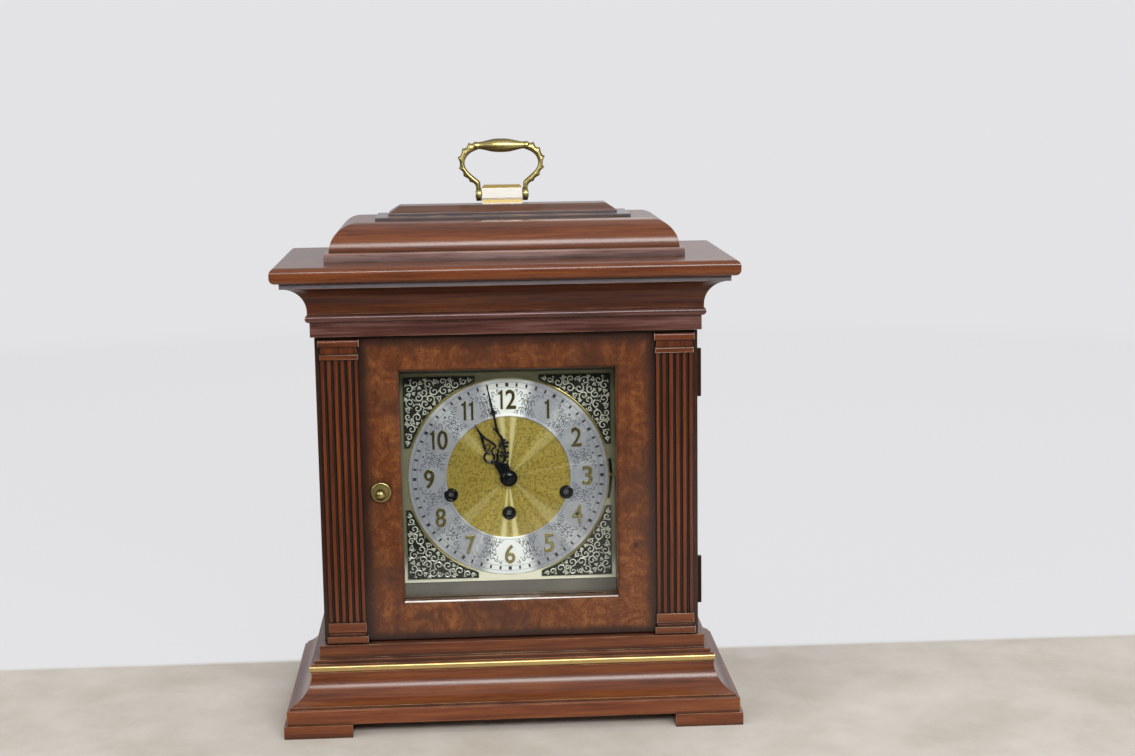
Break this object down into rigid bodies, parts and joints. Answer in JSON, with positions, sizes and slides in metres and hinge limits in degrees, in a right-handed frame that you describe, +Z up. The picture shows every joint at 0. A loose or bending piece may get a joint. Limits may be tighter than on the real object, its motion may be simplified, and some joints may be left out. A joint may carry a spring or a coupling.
{
  "type": "bracket clock",
  "caption": "Spring-driven bracket clock in a moulded wooden case with a glazed front door, brass dial with hands, chime work and a swinging brass carrying handle.",
  "frame": {"origin": "on the floor, under the middle of the overall width and depth of the case", "axes": "+X to the right as seen from the front, +Y to the back, +Z up; the dial faces -Y"},
  "size_m": [0.3142, 0.155, 0.4003],
  "materials": {
    "walnut": "semi-gloss lacquer",
    "burl_veneer": "gloss lacquer",
    "plywood": "matt",
    "polished_brass": "polished",
    "dial_brass": "brushed",
    "silvered_ring": "satin",
    "spandrel_metal": "cast",
    "black_hands": "gloss",
    "nut_brass": "polished",
    "hinge_brass": "satin",
    "steel": "satin",
    "movement_brass": "satin",
    "glass": "clear"
  },
  "bodies": {
    "case": {"feet": "walnut", "base_fascia": "walnut", "base_cove": "walnut", "floor_board": "walnut", "side_panels": "walnut", "frieze_board": "walnut", "cornice_bead": "walnut", "cornice_cove": "walnut", "cornice_board": "walnut", "caddy_plinth": "walnut", "dome_mouldings": "walnut", "cap_boards": "walnut", "back_frame": "plywood", "dial_frame": "plywood", "seat_board": "plywood", "brass_strip": "polished_brass", "handle_block": "polished_brass", "dial_plate": "dial_brass", "chapter_ring": "silvered_ring", "spandrels": "spandrel_metal", "winding_grommets": "black_hands", "case_metalwork": "hinge_brass", "handle_fixings": "steel", "chime_rods": "steel", "movement_plates": "movement_brass", "plate_pillars": "movement_brass", "movement_brackets": "movement_brass"},
    "front_door": {"door_stiles": "burl_veneer", "door_rails": "burl_veneer", "pilasters": "walnut", "pilaster_bands": "walnut", "door_glass": "glass", "glass_beads": "walnut", "door_knob": "polished_brass", "door_metalwork": "hinge_brass"},
    "rear_door": {"back_door": "plywood"},
    "handle": {"bail_handle": "polished_brass"},
    "minute_work": {"centre_arbor": "movement_brass", "minute_hand": "black_hands", "hand_nut": "nut_brass"},
    "hour_work": {"hour_wheel": "movement_brass", "hour_hand": "black_hands"},
    "minute_wheel": {"minute_wheel": "movement_brass"},
    "second_wheel": {"second_wheel": "movement_brass"},
    "third_wheel": {"third_wheel": "movement_brass"},
    "escape_wheel": {"escape_wheel": "movement_brass"},
    "pallet_lever": {"pallet_lever": "movement_brass"},
    "balance_wheel": {"balance_wheel": "movement_brass"},
    "going_barrel": {"going_barrel": "movement_brass"},
    "strike_barrel": {"strike_barrel": "movement_brass"},
    "chime_barrel": {"chime_barrel": "movement_brass"},
    "going_winding_arbor": {"going_winding_arbor": "steel"},
    "strike_winding_arbor": {"strike_winding_arbor": "steel"},
    "chime_winding_arbor": {"chime_winding_arbor": "steel"},
    "chime_drum": {"chime_drum": "movement_brass"},
    "chime_hammer_1": {"chime_hammer_1": "steel"},
    "chime_hammer_2": {"chime_hammer_2": "steel"},
    "chime_hammer_3": {"chime_hammer_3": "steel"},
    "chime_hammer_4": {"chime_hammer_4": "steel"},
    "chime_selector": {"chime_selector": "polished_brass"}
  },
  "joints": [
    {"name": "front_door_hinge", "type": "hinge", "parent": "case", "child": "front_door", "pos_m": [0.1324, -0.0277, 0.1648], "axis": [0, 0, 1], "range_deg": [0, 110]},
    {"name": "rear_door_hinge", "type": "hinge", "parent": "case", "child": "rear_door", "pos_m": [0.092, 0.0715, 0.165], "axis": [0, 0, -1], "range_deg": [0, 95]},
    {"name": "handle_swing", "type": "hinge", "parent": "case", "child": "handle", "pos_m": [0, 0.01755, 0.3615], "axis": [1, 0, 0], "range_deg": [-90, 90]},
    {"name": "minute_turn", "type": "hinge", "parent": "case", "child": "minute_work", "pos_m": [0, 0.02, 0.16495], "axis": [0, 1, 0], "continuous": true},
    {"name": "hour_turn", "type": "hinge", "parent": "case", "child": "hour_work", "pos_m": [0, 0.02, 0.16495], "axis": [0, 1, 0], "continuous": true},
    {"name": "minute_wheel_turn", "type": "hinge", "parent": "case", "child": "minute_wheel", "pos_m": [-0.01018, 0.02, 0.17513], "axis": [0, 1, 0], "continuous": true},
    {"name": "second_wheel_turn", "type": "hinge", "parent": "case", "child": "second_wheel", "pos_m": [0.01312, 0.02, 0.15769], "axis": [0, 1, 0], "continuous": true},
    {"name": "third_wheel_turn", "type": "hinge", "parent": "case", "child": "third_wheel", "pos_m": [-0.0038, 0.02, 0.17912], "axis": [0, 1, 0], "continuous": true},
    {"name": "escape_turn", "type": "hinge", "parent": "case", "child": "escape_wheel", "pos_m": [0.00304, 0.02, 0.19097], "axis": [0, 1, 0], "continuous": true},
    {"name": "pallet_rock", "type": "hinge", "parent": "case", "child": "pallet_lever", "pos_m": [0.01304, 0.02, 0.19097], "axis": [0, 1, 0], "range_deg": [-5, 5]},
    {"name": "balance_swing", "type": "hinge", "parent": "case", "child": "balance_wheel", "pos_m": [0.02604, 0.02, 0.19097], "axis": [0, 1, 0], "range_deg": [-135, 135]},
    {"name": "going_barrel_turn", "type": "hinge", "parent": "case", "child": "going_barrel", "pos_m": [0, 0.02, 0.13895], "axis": [0, 1, 0], "continuous": true},
    {"name": "strike_barrel_turn", "type": "hinge", "parent": "case", "child": "strike_barrel", "pos_m": [-0.04051, 0.02, 0.15295], "axis": [0, 1, 0], "continuous": true},
    {"name": "chime_barrel_turn", "type": "hinge", "parent": "case", "child": "chime_barrel", "pos_m": [0.04051, 0.02, 0.15295], "axis": [0, 1, 0], "continuous": true},
    {"name": "going_winding", "type": "hinge", "parent": "case", "child": "going_winding_arbor", "pos_m": [0, 0.02, 0.13895], "axis": [0, 1, 0], "continuous": true},
    {"name": "strike_winding", "type": "hinge", "parent": "case", "child": "strike_winding_arbor", "pos_m": [-0.04051, 0.02, 0.15295], "axis": [0, 1, 0], "continuous": true},
    {"name": "chime_winding", "type": "hinge", "parent": "case", "child": "chime_winding_arbor", "pos_m": [0.04051, 0.02, 0.15295], "axis": [0, 1, 0], "continuous": true},
    {"name": "chime_drum_turn", "type": "hinge", "parent": "case", "child": "chime_drum", "pos_m": [0.06, 0.05, 0.10295], "axis": [0, 1, 0], "continuous": true},
    {"name": "hammer_1_lift", "type": "hinge", "parent": "case", "child": "chime_hammer_1", "pos_m": [0.048, 0.044, 0.08995], "axis": [0, 1, 0], "range_deg": [0, 15]},
    {"name": "hammer_2_lift", "type": "hinge", "parent": "case", "child": "chime_hammer_2", "pos_m": [0.048, 0.0485, 0.08995], "axis": [0, 1, 0], "range_deg": [0, 15]},
    {"name": "hammer_3_lift", "type": "hinge", "parent": "case", "child": "chime_hammer_3", "pos_m": [0.048, 0.053, 0.08995], "axis": [0, 1, 0], "range_deg": [0, 15]},
    {"name": "hammer_4_lift", "type": "hinge", "parent": "case", "child": "chime_hammer_4", "pos_m": [0.048, 0.0575, 0.08995], "axis": [0, 1, 0], "range_deg": [0, 15]},
    {"name": "selector_turn", "type": "hinge", "parent": "case", "child": "chime_selector", "pos_m": [0, 0.02, 0.16495], "axis": [0, 1, 0], "range_deg": [-7, 7]}
  ],
  "couplings": [
    {"joint": "hour_turn", "follows": "minute_turn", "ratio": 0.083333},
    {"joint": "minute_wheel_turn", "follows": "minute_turn", "ratio": -0.33333},
    {"joint": "second_wheel_turn", "follows": "minute_turn", "ratio": -0.2},
    {"joint": "going_barrel_turn", "follows": "minute_turn", "ratio": 0.025641},
    {"joint": "third_wheel_turn", "follows": "minute_turn", "ratio": -7.5},
    {"joint": "escape_turn", "follows": "minute_turn", "ratio": 60}
  ]
}
